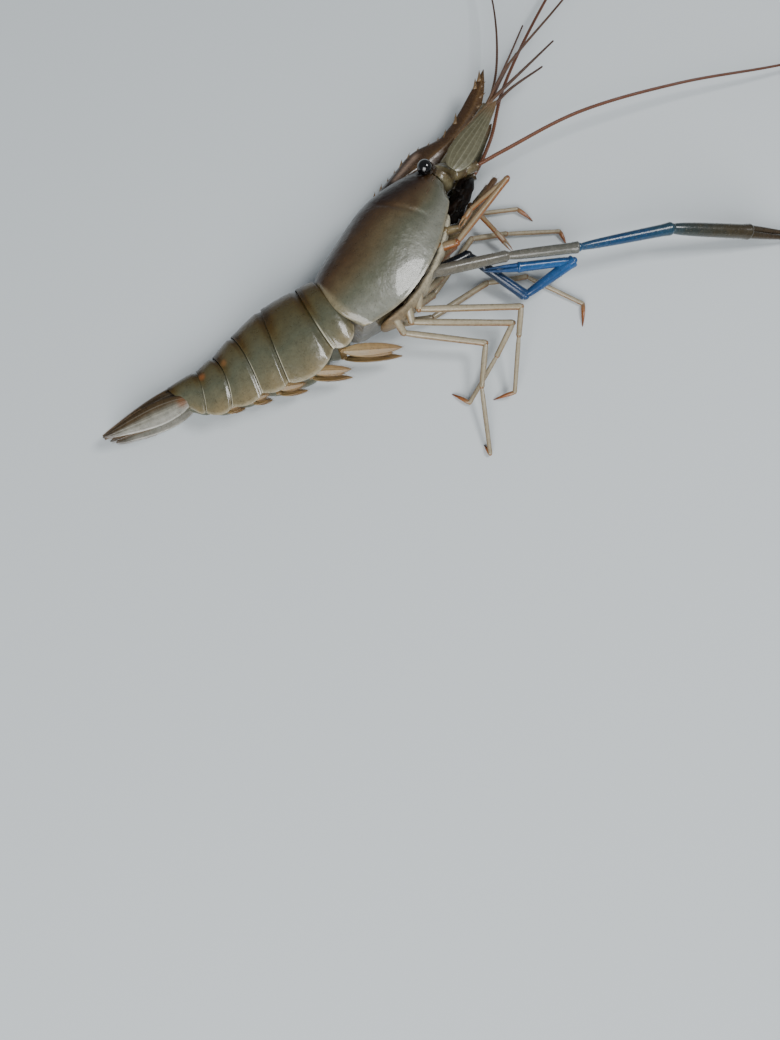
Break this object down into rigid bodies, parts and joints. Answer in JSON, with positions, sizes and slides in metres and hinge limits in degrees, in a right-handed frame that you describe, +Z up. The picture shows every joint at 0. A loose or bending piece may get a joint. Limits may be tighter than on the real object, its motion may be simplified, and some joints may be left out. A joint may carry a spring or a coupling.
{
  "type": "giant river prawn",
  "caption": "Life-size still model of a giant river prawn lying on its left side, with a toothed rostrum, long blue claws, walking legs, swimming legs, tail fan and long feelers.",
  "frame": {"origin": "On the floor under the right half of the carapace, on the small flat where the left side of the carapace rests.", "axes": "+X runs to the head end and the tips of the feelers, +Y to the back of the animal, +Z up, to its right side. The floor is z = 0."},
  "size_m": [0.3191, 0.1447, 0.0248],
  "materials": {
    "shell_brown": "smooth wet shell, dark olive brown",
    "shell_grey": "smooth wet shell, grey green",
    "shell_pale": "thin wet skin, pale grey brown",
    "claw_blue": "smooth wet shell, deep blue",
    "claw_navy": "smooth wet shell, dark navy",
    "limb": "thin wet shell, see-through beige grey",
    "feeler": "fine ringed whip, reddish brown",
    "eye": "glossy black cornea"
  },
  "bodies": {
    "root": {"eye_right": "eye", "eye_left": "eye", "eyestalk_right": "shell_brown", "eyestalk_left": "shell_brown", "carapace": "shell_brown", "head_front": "shell_brown", "mouthparts": "shell_brown", "rostrum": "shell_brown", "antenna_base_right": "shell_brown", "antenna_base_left": "shell_brown", "telson": "shell_brown", "chest_underside": "shell_pale", "antenna_scale_right": "shell_grey", "antenna_scale_left": "shell_grey", "antenna_right": "feeler", "antenna_left": "feeler", "antennule_right": "feeler", "antennule_left": "feeler", "leg_1_right": "limb", "leg_1_left": "limb", "leg_3_right": "limb", "leg_3_left": "limb", "leg_4_right": "limb", "leg_4_left": "limb", "leg_5_right": "limb", "leg_5_left": "limb", "maxilliped_right": "limb", "maxilliped_left": "limb", "claw_right_arm": "limb", "claw_left_arm": "claw_navy", "claw_right_finger": "claw_navy", "claw_left_finger": "claw_navy", "claw_right_wrist": "claw_blue", "claw_left_wrist": "claw_blue", "claw_right_palm": "claw_blue", "claw_left_palm": "claw_blue", "abdomen_1": "shell_grey", "abdomen_2": "shell_grey", "abdomen_3": "shell_grey", "abdomen_4": "shell_grey", "abdomen_5": "shell_grey", "abdomen_6": "shell_grey", "swimming_leg_1_right": "shell_pale", "swimming_leg_1_left": "shell_pale", "swimming_leg_2_right": "shell_pale", "swimming_leg_2_left": "shell_pale", "swimming_leg_3_right": "shell_pale", "swimming_leg_3_left": "shell_pale", "swimming_leg_4_right": "shell_pale", "swimming_leg_4_left": "shell_pale", "swimming_leg_5_right": "shell_pale", "swimming_leg_5_left": "shell_pale", "tail_plate_inner_right": "shell_grey", "tail_plate_outer_right": "shell_grey", "tail_plate_inner_left": "shell_grey", "tail_plate_outer_left": "shell_grey"}
  },
  "joints": []
}
